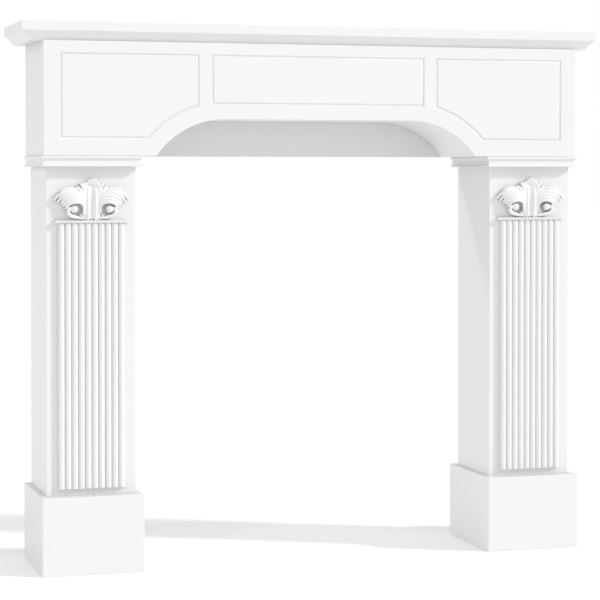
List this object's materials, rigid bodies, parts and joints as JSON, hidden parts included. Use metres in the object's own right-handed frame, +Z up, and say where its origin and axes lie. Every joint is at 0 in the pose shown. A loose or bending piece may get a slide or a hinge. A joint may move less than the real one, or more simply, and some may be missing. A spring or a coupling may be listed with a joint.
{
  "type": "fireplace mantelpiece",
  "caption": "Painted fireplace surround: moulded shelf over a panelled frieze with a shallow arch, on reeded pilasters with carved acanthus ornaments and plain plinth blocks.",
  "frame": {"origin": "on the floor, in the middle of the overall width and depth", "axes": "+X along the wall to the right as seen from the room, +Y into the wall, +Z up; the front faces -Y"},
  "size_m": [1.372, 0.255, 1.226],
  "materials": {
    "satin_paint": "satin white paint on smooth board",
    "carving_paint": "satin white paint on carving",
    "back_board_paint": "satin white paint on thin board"
  },
  "bodies": {
    "root": {"mantel_shelf": "satin_paint", "frieze": "satin_paint", "arch_back_panel": "back_board_paint", "left_capital": "satin_paint", "right_capital": "satin_paint", "left_pilaster": "satin_paint", "right_pilaster": "satin_paint", "left_reeded_panel": "satin_paint", "right_reeded_panel": "satin_paint", "left_bead_ledge": "carving_paint", "right_bead_ledge": "carving_paint", "left_ornament": "carving_paint", "right_ornament": "carving_paint", "left_plinth": "satin_paint", "right_plinth": "satin_paint"}
  },
  "joints": []
}
